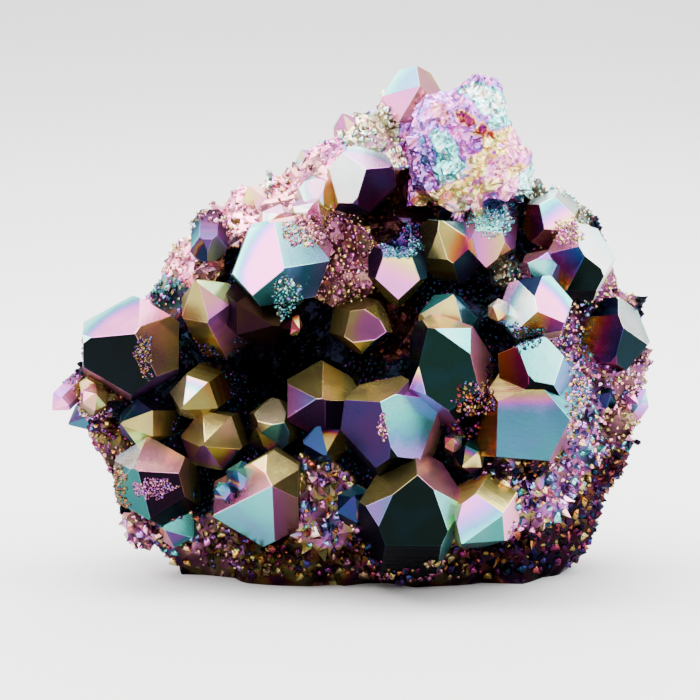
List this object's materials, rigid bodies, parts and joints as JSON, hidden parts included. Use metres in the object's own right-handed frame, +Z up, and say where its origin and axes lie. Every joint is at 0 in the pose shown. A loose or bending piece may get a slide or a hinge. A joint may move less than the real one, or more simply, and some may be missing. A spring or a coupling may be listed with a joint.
{
  "type": "quartz crystal cluster",
  "caption": "Metal-coated rainbow quartz cluster: pointed crystals and druzy grown on a broken matrix, standing on a flat cut",
  "frame": {"origin": "under the middle of the bounding box, on the flat cut the cluster rests on", "axes": "+Z up, -Y out of the crystal side, +X to the right as that side is seen"},
  "size_m": [0.0608, 0.0386, 0.0508],
  "materials": {
    "aura_coating": "quartz under a thin vapour-deposited metal film, iridescent and mirror-like on the crystal faces"
  },
  "bodies": {
    "root": {"aura_quartz_cluster": "aura_coating"}
  },
  "joints": []
}
